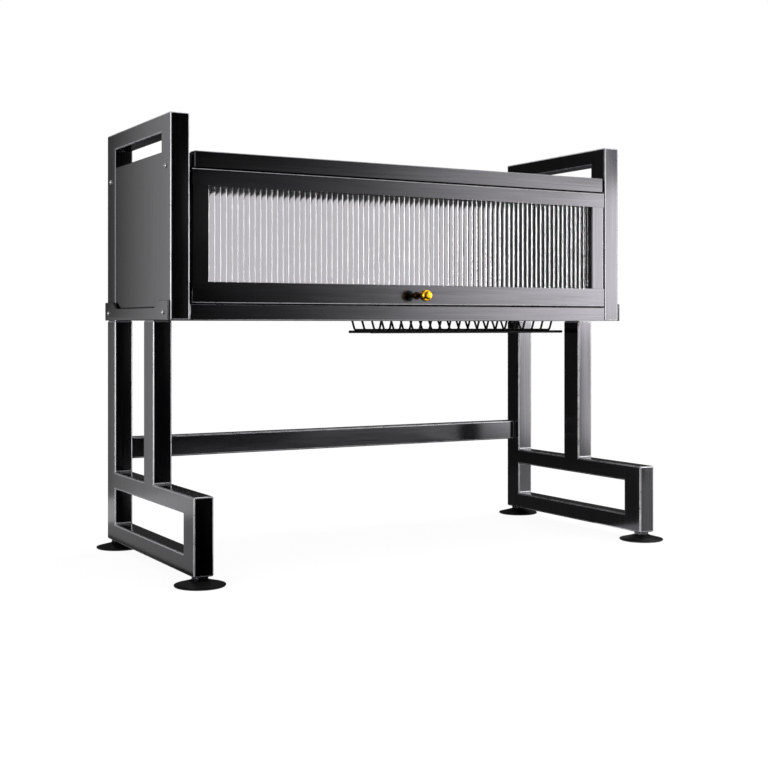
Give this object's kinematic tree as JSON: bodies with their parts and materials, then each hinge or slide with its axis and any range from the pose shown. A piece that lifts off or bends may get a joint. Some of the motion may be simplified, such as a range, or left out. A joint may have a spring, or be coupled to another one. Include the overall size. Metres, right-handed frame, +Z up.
{
  "type": "over-sink dish rack",
  "caption": "Over-sink dish rack: black steel side frames carry a cabinet with a fluted glass flap door and lift-out wire racks.",
  "frame": {"origin": "on the floor, under the middle of the rack's bounding box", "axes": "+X along the rack, left to right from the front, +Y from the door to the open back, +Z up"},
  "size_m": [0.894, 0.445, 0.693],
  "materials": {
    "frame_black": "black powder-coated steel tube, satin",
    "panel_black": "black brushed coated steel sheet, satin",
    "door_black": "black brushed anodised, satin",
    "wire_black": "black coated wire, satin",
    "glass": "clear fluted glass",
    "brass": "polished brass",
    "rubber": "black rubber, satin",
    "zinc": "zinc-plated steel",
    "nylon": "black nylon, matte"
  },
  "bodies": {
    "frame": {"left_leg_frame": "frame_black", "left_side_hoop": "frame_black", "left_rear_connector": "zinc", "left_mid_connector": "zinc", "left_side_panel": "panel_black", "left_joint_plate": "frame_black", "left_front_low_screw": "zinc", "left_front_high_screw": "zinc", "left_front_foot_insert": "zinc", "left_rear_low_screw": "zinc", "left_rear_high_screw": "zinc", "left_rear_foot_insert": "zinc", "left_hinge_bush": "nylon", "left_door_magnet": "nylon", "right_leg_frame": "frame_black", "right_side_hoop": "frame_black", "right_rear_connector": "zinc", "right_mid_connector": "zinc", "right_side_panel": "panel_black", "right_joint_plate": "frame_black", "right_front_low_screw": "zinc", "right_front_high_screw": "zinc", "right_front_foot_insert": "zinc", "right_rear_low_screw": "zinc", "right_rear_high_screw": "zinc", "right_rear_foot_insert": "zinc", "right_hinge_bush": "nylon", "right_door_magnet": "nylon", "rear_crossbar": "frame_black", "front_bottom_rail": "panel_black", "rear_bottom_rail": "panel_black", "front_top_rail": "panel_black", "rear_top_rail": "panel_black", "top_panel": "panel_black"},
    "door": {"door_top_rail": "door_black", "door_bottom_rail": "door_black", "door_left_stile": "door_black", "left_lower_key": "zinc", "left_upper_key": "zinc", "left_hinge_pin": "zinc", "door_right_stile": "door_black", "right_lower_key": "zinc", "right_upper_key": "zinc", "right_hinge_pin": "zinc", "fluted_glass": "glass", "glass_gasket": "rubber", "door_knob": "brass", "knob_screw": "zinc"},
    "plate_rack": {"plate_rack": "wire_black"},
    "bowl_rack": {"bowl_rack": "wire_black"},
    "left_front_foot": {"left_front_foot_pad": "rubber"},
    "left_front_stud": {"left_front_foot_stud": "zinc"},
    "left_rear_foot": {"left_rear_foot_pad": "rubber"},
    "left_rear_stud": {"left_rear_foot_stud": "zinc"},
    "right_front_foot": {"right_front_foot_pad": "rubber"},
    "right_front_stud": {"right_front_foot_stud": "zinc"},
    "right_rear_foot": {"right_rear_foot_pad": "rubber"},
    "right_rear_stud": {"right_rear_foot_stud": "zinc"}
  },
  "joints": [
    {"name": "door_flip", "type": "hinge", "parent": "frame", "child": "door", "pos_m": [0, -0.1, 0.6045], "axis": [-1, 0, 0], "range_deg": [0, 90]},
    {"name": "plate_rack_lift", "type": "slide", "parent": "frame", "child": "plate_rack", "axis": [0, 0, 1], "range_m": [0, 0.06]},
    {"name": "bowl_rack_lift", "type": "slide", "parent": "frame", "child": "bowl_rack", "axis": [0, 0, 1], "range_m": [0, 0.06]},
    {"name": "left_front_foot_level", "type": "slide", "parent": "frame", "child": "left_front_foot", "axis": [0, 0, -1], "range_m": [0, 0.01]},
    {"name": "left_front_foot_turn", "type": "hinge", "parent": "left_front_foot", "child": "left_front_stud", "pos_m": [-0.4095, -0.185, 0.0096], "axis": [0, 0, -1], "range_deg": [0, 2880]},
    {"name": "left_rear_foot_level", "type": "slide", "parent": "frame", "child": "left_rear_foot", "axis": [0, 0, -1], "range_m": [0, 0.01]},
    {"name": "left_rear_foot_turn", "type": "hinge", "parent": "left_rear_foot", "child": "left_rear_stud", "pos_m": [-0.4095, 0.185, 0.0096], "axis": [0, 0, -1], "range_deg": [0, 2880]},
    {"name": "right_front_foot_level", "type": "slide", "parent": "frame", "child": "right_front_foot", "axis": [0, 0, -1], "range_m": [0, 0.01]},
    {"name": "right_front_foot_turn", "type": "hinge", "parent": "right_front_foot", "child": "right_front_stud", "pos_m": [0.4095, -0.185, 0.0096], "axis": [0, 0, -1], "range_deg": [0, 2880]},
    {"name": "right_rear_foot_level", "type": "slide", "parent": "frame", "child": "right_rear_foot", "axis": [0, 0, -1], "range_m": [0, 0.01]},
    {"name": "right_rear_foot_turn", "type": "hinge", "parent": "right_rear_foot", "child": "right_rear_stud", "pos_m": [0.4095, 0.185, 0.0096], "axis": [0, 0, -1], "range_deg": [0, 2880]}
  ],
  "couplings": [
    {"joint": "left_front_foot_turn", "follows": "left_front_foot_level", "rad_per_m": 5026.5},
    {"joint": "left_rear_foot_turn", "follows": "left_rear_foot_level", "rad_per_m": 5026.5},
    {"joint": "right_front_foot_turn", "follows": "right_front_foot_level", "rad_per_m": 5026.5},
    {"joint": "right_rear_foot_turn", "follows": "right_rear_foot_level", "rad_per_m": 5026.5}
  ]
}
